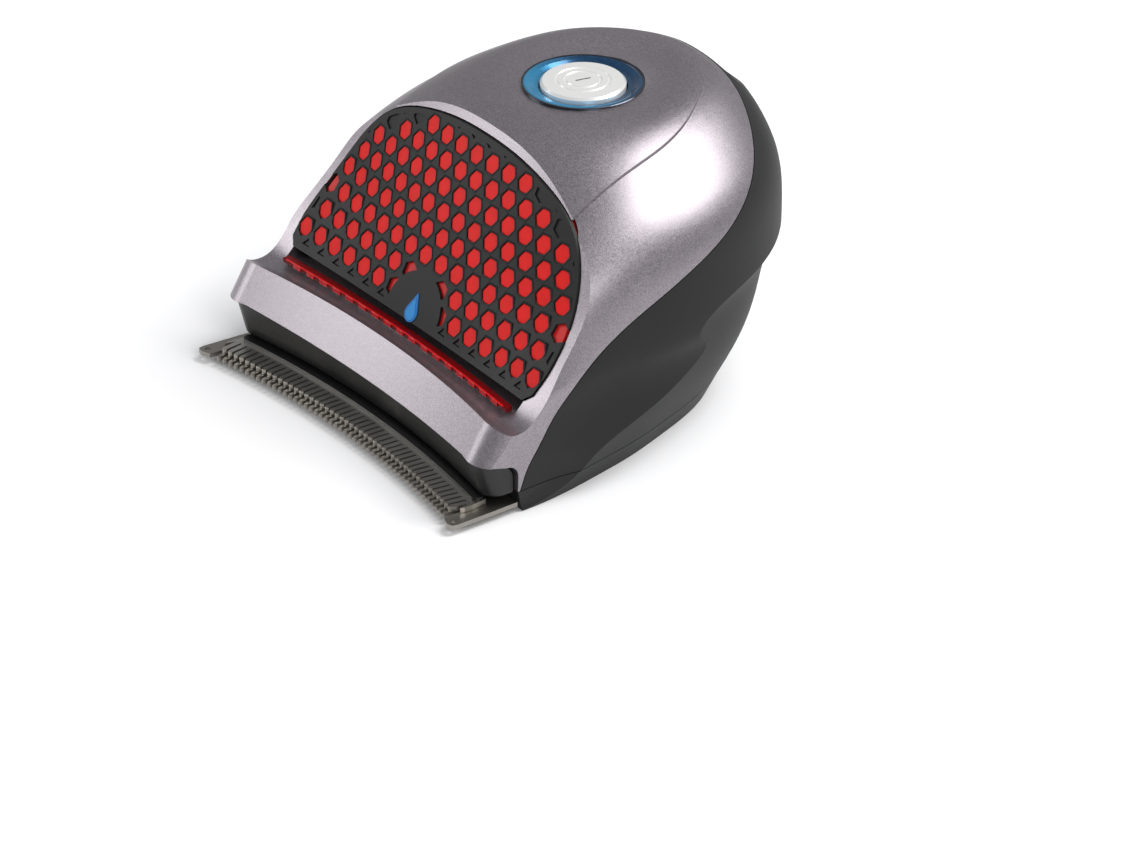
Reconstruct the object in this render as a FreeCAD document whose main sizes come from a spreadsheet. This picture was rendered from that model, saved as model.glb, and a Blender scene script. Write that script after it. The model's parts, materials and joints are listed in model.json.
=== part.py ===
"""Palm-held, self-cut hair clipper: domed body, honeycomb front panel and curved blade head.

Drawing frame: X to the right, Y towards the rear, Z up, Z = 0 under the base plate and Y = 0 at
the base plate's front edge.  The sheet's front_y moves all of it so that the origin lies under
the middle of the finished object.
"""
import FreeCAD, Part
import Sketcher
import math
import os
from FreeCAD import Placement, Rotation, Vector

doc = FreeCAD.newDocument("hair_clipper")

# ---------------------------------------------------------------- driving dimensions (mm)
SIZES = {
    "front_y": -27.75,
    "wall": 2.0,
    "skin_gap": 0.2,
    "seam": 0.15,
    # base plate and hull
    "base_height": 4.3,
    "base_floor": 2.0,
    "base_half_width": 37.0,
    "base_length": 57.0,
    # front panel
    "panel_thickness": 0.55,
    "panel_proud": 0.35,
    "insert_thickness": 2.2,
    "cell_pitch": 4.4,
    "cell_flats": 3.15,
    "badge_radius": 7.0,
    # nose and blade head
    "nose_rake": 0.6,
    "nose_corner": 5.0,
    "blade_arc_radius": 198.0,
    "blade_tip_y": -10.7,
    "tooth_pitch": 1.41,
    "tooth_count": 48,
    "comb_blade_bottom": 1.2,
    "comb_blade_thickness": 0.8,
    "cutter_lift": 0.06,
    "cutter_thickness": 0.9,
    "cutter_half_width": 35.0,
    "carrier_bar_half_width": 33.0,
    "head_gap": 0.45,
    "head_bottom": 3.6,
    "blade_screw_x": 28.0,
    # power button
    "button_y": 38.2,
    "button_top": 52.5,
    "button_radius": 7.2,
    "ring_inner": 7.45,
    "ring_outer": 9.95,
    "trim_outer": 10.3,
    "button_travel": 0.6,
    # inside
    "motor_y": 23.0,
    "motor_radius": 10.0,
    "motor_bottom": 11.6,
    "motor_height": 19.0,
    "shaft_radius": 1.0,
    "crank_offset": 1.0,
    "crank_pin_radius": 1.0,
    "cell_radius": 7.1,
    "cell_length": 50.0,
    "cell_y": 42.5,
    "cell_z": 21.5,
    "board_bottom": 40.0,
    "board_thickness": 1.6,
    # charging socket
    "socket_z": 12.0,
    "socket_bore": 2.75,
    "socket_depth": 8.0,
    "socket_mouth_y": 58.5,
    # housing screws
    "screw_x": 25.0,
    "screw_front_y": 7.0,
    "screw_rear_x": 15.0,
    "screw_rear_y": 44.0,
    "screw_radius": 1.25,
    "screw_head_radius": 2.4,
}

sheet = doc.addObject("Spreadsheet::Sheet", "Sizes")
for row, (alias, number) in enumerate(SIZES.items(), start=1):
    sheet.set(f"A{row}", alias)
    sheet.set(f"B{row}", str(number))
    sheet.setAlias(f"B{row}", alias)
doc.recompute()


class Size:
    """A length known both as a number and as the sheet expression that gives it."""

    def __init__(self, text, value):
        self.text = text
        self.value = float(value)

    def __float__(self):
        return self.value

    def __neg__(self):
        return Size(f"(-1 * {self.text})", -self.value)

    def __add__(self, other):
        return Size(f"({self.text} + {as_size(other).text})", self.value + float(other))

    def __sub__(self, other):
        return Size(f"({self.text} - {as_size(other).text})", self.value - float(other))

    def __mul__(self, other):
        return Size(f"({self.text} * {as_size(other).text})", self.value * float(other))

    def __truediv__(self, other):
        return Size(f"({self.text} / {as_size(other).text})", self.value / float(other))

    def __radd__(self, other):
        return as_size(other) + self

    def __rsub__(self, other):
        return as_size(other) - self

    def __rmul__(self, other):
        return as_size(other) * self


def as_size(value):
    """A plain number as a Size, with brackets round a minus sign."""
    return value if isinstance(value, Size) else Size(f"({float(value):g})", value)


def cell(alias):
    """The sheet's cell as a Size."""
    return Size(f"Sizes.{alias}", sheet.get(alias))


SUB_PARTS = []
FRONT_Y = cell("front_y")


def keep(obj, label):
    """Mark an object as a finished sub-part under its own name."""
    obj.Label = label
    SUB_PARTS.append(obj)
    return obj


def place(obj, x, y, z):
    """Bind an object's position to the sheet, moved into the finished frame."""
    for axis, value in zip("xyz", (as_size(x), FRONT_Y + y, as_size(z))):
        obj.setExpression(f"Placement.Base.{axis}", value.text)
    return obj


def box(name, x_range, y_range, z_range):
    """Part::Box between two corners, every size bound."""
    obj = doc.addObject("Part::Box", name)
    for prop, (low, high) in zip(("Length", "Width", "Height"), (x_range, y_range, z_range)):
        obj.setExpression(prop, (as_size(high) - low).text)
    return place(obj, x_range[0], y_range[0], z_range[0])


def cylinder(name, centre, radius, height, axis="Z"):
    """Part::Cylinder that starts at centre and runs along +axis."""
    turns = {"X": (Vector(0, 1, 0), 90), "Y": (Vector(1, 0, 0), -90), "Z": (Vector(0, 0, 1), 0)}
    obj = doc.addObject("Part::Cylinder", name)
    obj.Placement = Placement(Vector(), Rotation(*turns[axis]))
    obj.setExpression("Radius", as_size(radius).text)
    obj.setExpression("Height", as_size(height).text)
    return place(obj, *centre)


def fuse(name, shapes):
    """Part::MultiFuse of several objects."""
    obj = doc.addObject("Part::MultiFuse", name)
    obj.Shapes = shapes
    return obj


def cut(name, base, tool):
    """Part::Cut of one object by another."""
    obj = doc.addObject("Part::Cut", name)
    obj.Base = base
    obj.Tool = tool
    return obj


def feature(label, shape):
    """A sub-part whose freeform shape comes from Part's own functions."""
    obj = doc.addObject("Part::Feature", label)
    obj.Shape = shape
    obj.Placement = Placement(Vector(0, float(FRONT_Y), 0), Rotation())
    return keep(obj, label)


# ---------------------------------------------------------------- sketch-based bodies
def outline_sketch(body, role, points):
    """Closed polygon sketch on one of the body's own origin planes, each corner bound."""
    sketch = body.newObject("Sketcher::SketchObject", f"{body.Name}_outline")
    plane = next(item for item in body.Origin.OriginFeatures if item.Role == role)
    sketch.AttachmentSupport = [(plane, "")]
    sketch.MapMode = "FlatFace"
    corners = [Vector(float(u), float(v), 0) for u, v in points]
    count = len(corners)
    for index in range(count):
        sketch.addGeometry(Part.LineSegment(corners[index], corners[(index + 1) % count]), False)
    for index in range(count):
        sketch.addConstraint(Sketcher.Constraint("Coincident", index, 2, (index + 1) % count, 1))
    for index, (u, v) in enumerate(points):
        for kind, value in (("DistanceX", as_size(u)), ("DistanceY", as_size(v))):
            rule = Sketcher.Constraint(kind, -1, 1, index, 1, float(value))
            number = sketch.addConstraint(rule)
            sketch.setExpression(f"Constraints[{number}]", value.text)
    return sketch


def turned(label, position, points):
    """Body of revolution about its own vertical axis from (radius, height) corners."""
    body = doc.addObject("PartDesign::Body", label)
    sketch = outline_sketch(body, "XZ_Plane", points)
    turn = body.newObject("PartDesign::Revolution", f"{label}_turn")
    turn.Profile = sketch
    turn.ReferenceAxis = (sketch, ["V_Axis"])
    turn.Angle = 360.0
    place(body, *position)
    return keep(body, label)


def circle_sketch(body, name, role, centres, radius):
    """Sketch of equal circles, each centre and radius bound."""
    sketch = body.newObject("Sketcher::SketchObject", name)
    plane = next(item for item in body.Origin.OriginFeatures if item.Role == role)
    sketch.AttachmentSupport = [(plane, "")]
    sketch.MapMode = "FlatFace"
    for index, (u, v) in enumerate(centres):
        middle = Vector(float(u), float(v), 0)
        sketch.addGeometry(Part.Circle(middle, Vector(0, 0, 1), float(radius)), False)
        rules = (("DistanceX", as_size(u)), ("DistanceY", as_size(v)))
        for kind, value in rules:
            number = sketch.addConstraint(
                Sketcher.Constraint(kind, -1, 1, index, 3, float(value)))
            sketch.setExpression(f"Constraints[{number}]", value.text)
        number = sketch.addConstraint(Sketcher.Constraint("Radius", index, float(radius)))
        sketch.setExpression(f"Constraints[{number}]", as_size(radius).text)
    return sketch


def plate(label, position, points, thickness, holes=(), hole_radius=0):
    """Padded polygon lying flat, with round holes pocketed right through."""
    body = doc.addObject("PartDesign::Body", label)
    pad = body.newObject("PartDesign::Pad", f"{label}_pad")
    pad.Profile = outline_sketch(body, "XY_Plane", points)
    pad.setExpression("Length", as_size(thickness).text)
    if holes:
        pocket = body.newObject("PartDesign::Pocket", f"{label}_holes")
        pocket.Profile = circle_sketch(body, f"{label}_circles", "XY_Plane", holes, hole_radius)
        pocket.Type = 1
        pocket.Reversed = True
    place(body, *position)
    return keep(body, label)


def rectangle(half_x, low_y, high_y):
    """Corners of a rectangle that is centred on X = 0."""
    half_x = as_size(half_x)
    return [(-half_x, low_y), (half_x, low_y), (half_x, high_y), (-half_x, high_y)]


# ---------------------------------------------------------------- outer skin
# One row per level of the dome: height, rearward tilt, half width, rear end, front end,
# where it is widest, and how square the rear and front quarters are.
LEVELS = [
    (0.0, 0.0, 37.2, 66.0, -34.0, 16.0, 2.15, 6.0),
    (12.0, 0.0, 38.3, 69.0, -32.0, 20.0, 2.15, 6.0),
    (22.0, 0.0, 38.3, 70.0, -20.0, 24.0, 2.2, 3.2),
    (31.0, 0.0, 37.2, 70.1, -7.0, 27.0, 2.2, 2.6),
    (38.0, 0.01, 35.1, 69.9, 3.0, 30.0, 2.2, 2.4),
    (42.5, 0.015, 31.8, 68.6, 10.0, 32.5, 2.2, 2.3),
    (47.1, 0.03, 26.2, 66.0, 15.7, 34.5, 2.2, 2.3),
    (50.4, 0.055, 21.0, 61.7, 20.2, 37.0, 2.15, 2.2),
    (51.75, 0.055, 15.0, 55.4, 25.8, 38.5, 2.0, 2.0),
    (52.15, 0.055, 8.0, 46.8, 31.0, 38.8, 2.0, 2.0),
]
QUARTER_STEPS = 7
# Half outline of the base plate from its front corner round to the rear.
BASE_OUTLINE = [
    (1.0, -0.5), (1.0, -0.25), (1.0, 0.0), (0.977, 0.14), (0.922, 0.305), (0.87, 0.435),
    (0.79, 0.58), (0.665, 0.765), (0.545, 0.872), (0.38, 0.948), (0.19, 0.989), (0.0, 1.0),
]
# How far the hull flares outside the base outline at each height.
HULL_FLARE = [
    (0.0, 0.0), (4.3, 2.1), (7.0, 3.5), (13.0, 6.2), (20.5, 8.2), (28.0, 10.8), (40.0, 16.5), (56.0, 24.0),
]
# Upper edge of the dark housing, seen from the side, as (y, z).
HOUSING_EDGE = [
    (-1.1, 4.3), (0.9, 9.4), (3.8, 14.4), (7.2, 18.5), (12.6, 23.3), (18.8, 27.4), (26.5, 30.8),
    (33.5, 33.5), (40.1, 36.0), (45.2, 38.2), (49.6, 40.5), (53.5, 42.9), (56.2, 45.0), (58.8, 47.8),
    (60.5, 50.6), (61.5, 53.6), (62.2, 58.0),
]
# Rear end of the raised deck round the button, in plan.
DECK_OUTLINE = [
    (26.0, 8.0), (25.2, 19.0), (24.1, 32.0), (21.3, 42.3), (15.2, 51.0), (7.7, 57.0), (0.0, 59.2),
]
DECK_RISE = 0.45

# The front bowl: a steep flat that turns through a valley to the top of the nose.  Each row is
# the middle (y, z) and how fast the surface falls back towards the sides.
BOWL = [
    (27.6, 66.0, 0.003), (19.3, 50.0, 0.003), (13.6, 39.0, 0.0029), (9.45, 31.0, 0.00255),
    (6.34, 25.0, 0.00125), (4.0, 20.5, 0.0001), (2.5, 17.6, -0.0007), (1.1, 15.9, -0.0013),
    (-0.5, 15.6, -0.0018), (-2.3, 16.6, -0.0024), (-8.0, 21.0, -0.0029), (-20.0, 30.5, -0.003),
]
BOWL_INWARD = Vector(0, 0.887, -0.461)
BOWL_UPHILL = Vector(0, 0.461, 0.887)
BOWL_ROOT = (7.9, 28.0)
FAR = 90.0


def largest(shape):
    """The biggest solid of a cut, without the crumbs that a knife edge leaves."""
    return max(shape.Solids, key=lambda solid: solid.Volume)


def closed_curve(points):
    """Smooth closed wire through points."""
    curve = Part.BSplineCurve()
    curve.interpolate(Points=points, PeriodicFlag=True)
    return Part.Wire(curve.toShape())


def open_curve(points):
    """Smooth open edge through points."""
    curve = Part.BSplineCurve()
    curve.interpolate(Points=points)
    return curve.toShape()


def polyline(points):
    """Straight edges through points, left open."""
    return [Part.makeLine(a, b) for a, b in zip(points, points[1:])]


def prism(points, direction):
    """Closed polygon swept along a straight direction."""
    return Part.Face(Part.makePolygon(list(points) + [points[0]])).extrude(direction)


def skin_level(level, inset):
    """One closed section of the dome, moved inwards by inset."""
    height, tilt, half_width, rear, front, widest, rear_power, front_power = level
    half_width -= inset
    rear -= inset
    front += inset
    height -= inset * (height / LEVELS[-1][0]) ** 3
    quarter = []
    for step in range(QUARTER_STEPS):
        turn = 0.5 * math.pi * step / QUARTER_STEPS
        quarter.append((half_width * math.cos(turn) ** (2 / rear_power),
                        widest + (rear - widest) * math.sin(turn) ** (2 / rear_power)))
    rear_half = quarter + [(0.0, rear)] + [(-x, y) for x, y in reversed(quarter)]
    front_quarter = []
    for step in range(1, QUARTER_STEPS):
        along = math.sin(0.5 * math.pi * step / QUARTER_STEPS)
        front_quarter.append((half_width * (1 - along ** front_power) ** (1 / front_power),
                              widest - (widest - front) * along))
    front_half = [(-x, y) for x, y in front_quarter] + [(0.0, front)]
    front_half += list(reversed(front_quarter))
    points = []
    for x, y in rear_half + front_half:
        points.append(Vector(x, y, height + tilt * (y - float(cell("button_y")))))
    return closed_curve(points)


def dome(inset):
    """Solid dome lofted through its levels."""
    return Part.makeLoft([skin_level(level, inset) for level in LEVELS], True, False)


def base_outline(flare, height):
    """Closed plan outline of the base plate, moved outwards by flare."""
    half_width = float(cell("base_half_width"))
    length = float(cell("base_length"))
    plan = [(x * half_width, y * length) for x, y in BASE_OUTLINE]
    right = []
    for index, (x, y) in enumerate(plan):
        before = plan[max(index - 1, 0)]
        after = plan[index + 1] if index + 1 < len(plan) else (-plan[index - 1][0], plan[index - 1][1])
        run = (after[0] - before[0], after[1] - before[1])
        reach = math.hypot(*run)
        right.append(Vector(x + flare * run[1] / reach, y - flare * run[0] / reach, height))
    left = [Vector(-point.x, point.y, height) for point in reversed(right[:-1])]
    rim = open_curve(right + left)
    return Part.Wire([rim, Part.makeLine(left[-1], right[0])])


def base_prism(flare, low, high):
    """Upright block with the base plate's outline."""
    return Part.Face(base_outline(flare, low)).extrude(Vector(0, 0, high - low))


def behind(y, low, high):
    """Everything behind a plane across the body, between two heights."""
    return Part.makeBox(2 * FAR, 2 * FAR, high - low, Vector(-FAR, y, low))


def hull(inset):
    """Stern-like block that undercuts the dome towards the base plate."""
    return Part.makeLoft([base_outline(flare - inset, height) for height, flare in HULL_FLARE], True, False)


def bowl_sheet():
    """The front bowl as one smooth face: a parabola across, a smooth curve from top to nose."""
    reach = 48.0
    stations = [float(number) for number in range(len(BOWL))]
    columns = []
    for x, bend in ((-reach, 1), (0.0, -1), (reach, 1)):
        points = [Vector(x, middle_y + bend * fall * reach * reach, height) for middle_y, height, fall in BOWL]
        curve = Part.BSplineCurve()
        curve.interpolate(Points=points, Parameters=stations)
        columns.append(curve)
    surface = Part.BSplineSurface()
    surface.buildFromPolesMultsKnots([curve.getPoles() for curve in columns], [3, 3],
                                     columns[0].getMultiplicities(), [0.0, 1.0], columns[0].getKnots(),
                                     False, False, 2, columns[0].Degree)
    return surface.toShape()


def bowl_fall(height):
    """How fast the bowl falls back towards the sides at a height on its flat."""
    rows = [(z, fall) for _, z, fall in BOWL[:7]]
    for (high, fall_high), (low, fall_low) in zip(rows, rows[1:]):
        if height >= low:
            return fall_low + (fall_high - fall_low) * (height - low) / (high - low)
    return rows[-1][1]


def on_bowl(x, height):
    """Point on the flat of the bowl."""
    middle = BOWL_ROOT[0] + (height - BOWL_ROOT[1]) * BOWL_UPHILL.y / BOWL_UPHILL.z
    return Vector(x, middle + bowl_fall(height) * x * x, height)


def bowl_slab(depth, thickness):
    """Layer of even thickness that lies depth behind the bowl."""
    sheet_face = bowl_sheet()
    sheet_face.translate(BOWL_INWARD * depth)
    return sheet_face.extrude(BOWL_INWARD * thickness)


def side_prism(edges):
    """Profile drawn in the YZ plane and swept across the whole width."""
    face = Part.Face(Part.Wire(edges))
    face.translate(Vector(-FAR / 2, 0, 0))
    return face.extrude(Vector(FAR, 0, 0))


wall = float(cell("wall"))
base_height = float(cell("base_height"))
seam = float(cell("seam"))
BASE_RAKE = 0.35
skin_gap = float(cell("skin_gap"))
panel_proud = float(cell("panel_proud"))
panel_thickness = float(cell("panel_thickness"))
insert_thickness = float(cell("insert_thickness"))

# ---------------------------------------------------------------- nose, ceiling and shell cuts
NOSE_MID = (-1.9, 16.9)
NOSE_FALL = -0.0029


def nose_front(corner):
    """Everything in front of the raked, hollow-curved face of the nose."""
    rake = float(cell("nose_rake"))
    top = 26.0
    depth = 32.0
    half = 39.2
    middle = NOSE_MID[0] + rake * (top - NOSE_MID[1])
    side_y = middle + NOSE_FALL * half * half
    front = Part.Arc(Vector(-half, side_y, top), Vector(0, middle, top), Vector(half, side_y, top)).toShape()
    back = polyline([Vector(half, side_y, top), Vector(half, FAR, top), Vector(-half, FAR, top),
                     Vector(-half, side_y, top)])
    block = Part.Face(Part.Wire([front] + back)).extrude(Vector(0, -rake * depth, -depth))
    upright = [edge for edge in block.Edges if edge.BoundBox.XLength < 0.01
               and edge.BoundBox.YMax < 20 and edge.BoundBox.ZLength > 1]
    block = block.makeFillet(corner, upright)
    around = Part.makeBox(2 * FAR, 60.0, depth - 4.0, Vector(-FAR, -50.0, top - depth + 2.0))
    return around.cut(block)


def head_room(gap):
    """Hollow under the nose that takes the blade head, shrunk by gap."""
    back = -1.5 - gap
    roof = 9.6 - gap
    corner = 2.4
    bend = Part.Arc(Vector(0, back - corner, roof),
                    Vector(0, back - corner * (1 - math.sqrt(0.5)), roof - corner * (1 - math.sqrt(0.5))),
                    Vector(0, back, roof - corner)).toShape()
    outer = [Vector(0, back, roof - corner), Vector(0, back, -5.0), Vector(0, -40.0, -5.0),
             Vector(0, -40.0, roof + 5.2), Vector(0, -9.5, roof + 1.5), Vector(0, back - corner, roof)]
    side = side_prism([bend] + polyline(outer))
    crown = Part.Arc(Vector(-40, 10.2 - gap, 0), Vector(0, 11.9 - gap, 0), Vector(40, 10.2 - gap, 0))
    frame = [(40, 10.2 - gap), (40, -6), (-40, -6), (-40, 10.2 - gap)]
    arch = Part.Face(Part.Wire([crown.toShape()] + polyline([Vector(x, z, 0) for x, z in frame])))
    arch.rotate(Vector(), Vector(1, 0, 0), 90)
    return side, arch.extrude(Vector(0, -60, 0))


def silver_side(drop):
    """Everything above and in front of the dark housing's upper edge, moved back and down by drop."""
    rim = [(y + drop, z - drop) for y, z in HOUSING_EDGE]
    edge = open_curve([Vector(0, y, z) for y, z in rim])
    last_y, last_z = rim[-1]
    first_y, first_z = rim[0]
    around = [(last_y, last_z), (last_y, FAR), (-40.0, FAR), (-40.0, first_z), (first_y, first_z)]
    return side_prism([edge] + polyline([Vector(0, y, z) for y, z in around]))


PANEL_OUTLINE = [
    (0.0, 48.1), (8.0, 47.7), (17.0, 46.0), (23.0, 43.9), (27.8, 40.8), (30.8, 37.0), (33.1, 32.0),
    (34.7, 26.6), (35.2, 22.4),
]
PANEL_FOOT = [(34.8, 19.4), (33.3, 18.2)]


def panel_prism(grow):
    """Front panel's outline, swept along Y, with its edge moved outwards by grow."""
    scale_x = 1 + grow / 36.0
    upper = [(x * scale_x, z + grow * (z - 33.0) / 15.0) for x, z in PANEL_OUTLINE]
    foot = [(x * scale_x, z - grow) for x, z in PANEL_FOOT]
    right = [Vector(x, 0, z) for x, z in upper]
    left = [Vector(-x, 0, z) for x, z in reversed(upper[1:])]
    rim = open_curve(left + right)
    lower = [right[-1]] + [Vector(x, 0, z) for x, z in foot]
    lower += [Vector(-x, 0, z) for x, z in reversed(foot)] + [left[0]]
    face = Part.Face(Part.Wire([rim] + polyline(lower)))
    face.translate(Vector(0, -1.2, 0))
    return face.extrude(Vector(0, 45, 0))


dome_outer = dome(0)
hull_outer = hull(0)
bowl_room = bowl_sheet()
bowl_room.translate(BOWL_INWARD * panel_proud)
bowl_room = bowl_room.extrude(Vector(0, -0.5, 1) * FAR)
room_side, room_arch = head_room(0)
head_hollow = room_side.common(room_arch)

body_outer = dome_outer.common(hull_outer).cut(nose_front(float(cell("nose_corner"))))
cavity = dome(wall).common(hull(wall))
cavity_front = bowl_sheet()
cavity_front.translate(BOWL_INWARD * (panel_proud + panel_thickness + insert_thickness))
cavity = cavity.cut(cavity_front.extrude(Vector(0, -0.5, 1) * FAR))
cavity = cavity.cut(Part.makeBox(2 * FAR, FAR, FAR, Vector(-FAR, 1.2 - FAR, -1)))
button_y = float(cell("button_y"))


def fork_door():
    """Opening in the front wall that the cutter's fork reaches through."""
    return Part.makeBox(32.0, 7.0, 4.6, Vector(-16.0, -3.5, 3.8))


def top_shell():
    """Silver upper shell with bezel, nose, deck and button hole."""
    deck_right = [Vector(x, y, 0) for x, y in DECK_OUTLINE]
    deck_left = [Vector(-x, y, 0) for x, y in reversed(DECK_OUTLINE[:-1])]
    deck_rim = open_curve(deck_right + deck_left)
    deck_face = Part.Face(Part.Wire([deck_rim, Part.makeLine(deck_left[-1], deck_right[0])]))
    deck = dome(-DECK_RISE).common(deck_face.extrude(Vector(0, 0, FAR)))
    shell = body_outer.fuse(deck.common(Part.makeBox(FAR, FAR, FAR, Vector(-FAR / 2, 0, 35))))
    shell = shell.common(silver_side(0)).cut(bowl_room).cut(head_hollow)
    posts = []
    for x in (-16.0, 16.0):
        for y in (28.0, 49.0):
            posts.append(Part.makeCylinder(2.2, 16, Vector(x, y, 41.6)))
    shell = shell.cut(cavity.cut(Part.makeCompound(posts)))
    hole = Part.makeCylinder(float(cell("trim_outer")), FAR, Vector(0, button_y, 42))
    slot = Part.makeBox(67.0, 14.0, 2.9, Vector(-33.5, -0.6, 16.2))
    return largest(shell.cut(hole).cut(panel_prism(skin_gap)).cut(slot).cut(fork_door()))


feature("top_shell", top_shell())

SCREWS = [(side * cell(across), cell(along)) for across, along in
          (("screw_x", "screw_front_y"), ("screw_rear_x", "screw_rear_y")) for side in (-1, 1)]
SCREW_PLACES = [(float(x), float(y)) for x, y in SCREWS]


def lower_housing():
    """Dark side walls and stern above the base plate."""
    housing = body_outer.cut(silver_side(seam)).cut(cavity).common(behind(-FAR / 2, base_height, FAR))
    socket_y = float(cell("socket_mouth_y"))
    opening = Part.makeCylinder(4.6, 30, Vector(0, socket_y - 3, float(cell("socket_z"))), Vector(0, 1, 0))
    return largest(housing.cut(opening).cut(groove_ring()).cut(fork_door()))


def groove_ring():
    """Gasket that lies in the housing's lower edge."""
    low = base_height - seam
    outer = base_prism(0.2, low, low + 0.7)
    inner = base_prism(-0.6, low - 1, low + 2)
    return outer.cut(inner).common(behind(5.0, 0, FAR)).common(dome(0.8))


feature("lower_housing", lower_housing())
feature("base_gasket", groove_ring())


def front_face():
    """Everything in front of the base plate's raked front edge."""
    side = [(0.0, 0.0), (-BASE_RAKE * base_height, base_height), (-FAR / 2, base_height), (-FAR / 2, 0.0)]
    corners = [Vector(-FAR / 2, y, z) for y, z in side]
    return prism(corners, Vector(FAR, 0, 0))


def base_plate():
    """Flat base with a rim and counterbored screw holes."""
    top = base_height - seam
    tray = body_outer.common(behind(-FAR / 2, 0, top)).cut(front_face())
    tray = tray.cut(base_prism(-wall, float(cell("base_floor")), FAR).common(behind(wall, 0, FAR)))
    for x, y in SCREW_PLACES:
        tray = tray.fuse(Part.makeCylinder(3.2, top, Vector(x, y, 0)))
    for x, y in SCREW_PLACES:
        head = Part.makeCylinder(float(cell("screw_head_radius")) + 0.1, 1.6, Vector(x, y, 0))
        shank = Part.makeCylinder(float(cell("screw_radius")) + 0.15, FAR, Vector(x, y, -1))
        tray = tray.cut(head).cut(shank)
    return tray


feature("base_plate", base_plate())

# ---------------------------------------------------------------- front panel
CELL_ROWS = {-2: 7.5, -1: 7.0, 0: 7.5, 1: 7.0, 2: 6.5, 3: 6.0, 4: 4.5, 5: 3.0}


BLIND_ROWS = range(-2, 7)
BLIND_REACH = 9
BLIND_DEPTH = 0.28
RIM = 0.9
FOOT_MARK = (1.25, 1.7)
FOOT_MARK_Z = 18.85


def cell_prism(centre):
    """Six-sided hole with its flats facing sideways, square to the panel."""
    reach = float(cell("cell_flats")) / math.sqrt(3)
    corners = []
    for number in range(6):
        turn = math.radians(30 + 60 * number)
        corner = centre + Vector(1, 0, 0) * (reach * math.cos(turn)) + BOWL_UPHILL * (reach * math.sin(turn))
        corners.append(corner - BOWL_INWARD * 1.5)
    return prism(corners, BOWL_INWARD * (panel_thickness + 3.0))


def badge_centre():
    """Middle of the plain disc that carries the drop."""
    return on_bowl(0, 19.6)


def lattice(row):
    """Cell centres of one honeycomb row, from its left end to its right."""
    pitch = float(cell("cell_pitch"))
    height = BOWL_ROOT[1] + row * pitch * math.sqrt(0.75) * BOWL_UPHILL.z
    shift = 0.5 if row % 2 == 0 else 0.0
    return [on_bowl((number + shift) * pitch, height) for number in range(-BLIND_REACH, BLIND_REACH)]


def is_open(row, centre):
    """Whether a cell goes right through the panel."""
    reach = CELL_ROWS.get(row, -1.0) * float(cell("cell_pitch"))
    return abs(centre.x) < reach + 0.1


def badge_disc():
    """Plain round island that the honeycomb leaves free."""
    return Part.makeCylinder(float(cell("badge_radius")), 12, badge_centre() - BOWL_INWARD * 5, BOWL_INWARD)


def cells():
    """Every open cell of the honeycomb."""
    clear = float(cell("badge_radius")) - 0.4
    found = [cell_prism(centre) for row in CELL_ROWS for centre in lattice(row)
             if is_open(row, centre) and (centre - badge_centre()).Length > clear]
    return Part.makeCompound(found).cut(badge_disc())


def blind_cells():
    """Shallow part cells round the border and a row of small triangles along the foot."""
    marks = [cell_prism(centre) for row in BLIND_ROWS for centre in lattice(row) if not is_open(row, centre)]
    half, rise = FOOT_MARK
    for centre in lattice(-1):
        foot = on_bowl(centre.x, FOOT_MARK_Z)
        corners = [foot - Vector(half, 0, 0), foot + Vector(half, 0, 0), foot + BOWL_UPHILL * rise]
        if abs(centre.x) > float(cell("badge_radius")):
            marks.append(prism([corner - BOWL_INWARD * 2 for corner in corners], BOWL_INWARD * 4))
    layer = bowl_slab(-2.0, 2.0 + BLIND_DEPTH).common(panel_prism(-RIM))
    return layer.common(Part.makeCompound(marks))


def drop_prism(grow, depth, thickness):
    """Water drop: a round belly under a pointed top."""
    centre = badge_centre() - BOWL_UPHILL * 0.2
    belly = 1.55 + grow
    tip = 3.6 + 1.6 * grow
    touch = math.asin(belly / tip)
    across = Vector(1, 0, 0)
    side = across * (belly * math.cos(touch)) + BOWL_UPHILL * (belly * math.sin(touch))
    mirrored = Vector(-side.x, side.y, side.z)
    arc = Part.Arc(centre + mirrored, centre - BOWL_UPHILL * belly, centre + side).toShape()
    point = centre + BOWL_UPHILL * tip
    edges = [arc, Part.makeLine(centre + side, point), Part.makeLine(point, centre + mirrored)]
    face = Part.Face(Part.Wire(edges))
    face.translate(BOWL_INWARD * depth)
    return face.extrude(BOWL_INWARD * thickness)


panel_slab = bowl_slab(0, panel_thickness).common(panel_prism(0))
feature("grille_panel", largest(panel_slab.cut(cells()).cut(blind_cells()).cut(drop_prism(0, -3, 3.3))))
feature("drop_badge", drop_prism(0, -0.15, 0.45))
feature("red_backing", bowl_slab(panel_thickness, insert_thickness).common(panel_prism(-RIM)))


STRIP_FALL = 0.0014
STRIP_Z = 16.25
STRIP_HEIGHT = 0.85


def slot_strip():
    """Red strip that lies along the rinse slot under the panel."""
    half = 32.5
    rows = []
    for edge_y in (1.15, 2.45):
        side_y = edge_y - STRIP_FALL * half * half
        rows.append((Vector(-half, side_y, STRIP_Z), Vector(0, edge_y, STRIP_Z), Vector(half, side_y, STRIP_Z)))
    front, back = rows
    outline = [Part.Arc(*front).toShape(), Part.makeLine(front[2], back[2]),
               Part.Arc(back[2], back[1], back[0]).toShape(), Part.makeLine(back[0], front[0])]
    return Part.Face(Part.Wire(outline)).extrude(Vector(0, 0, STRIP_HEIGHT))


feature("slot_strip", slot_strip())

# ---------------------------------------------------------------- blade head
ARC_RADIUS = float(cell("blade_arc_radius"))
ARC_CENTRE_Y = float(cell("blade_tip_y")) - ARC_RADIUS


def polar(radius, angle, height):
    """Point at a radius about the blade arc's centre, with angle from +Y."""
    return Vector(radius * math.sin(angle), ARC_CENTRE_Y + radius * math.cos(angle), height)


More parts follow.
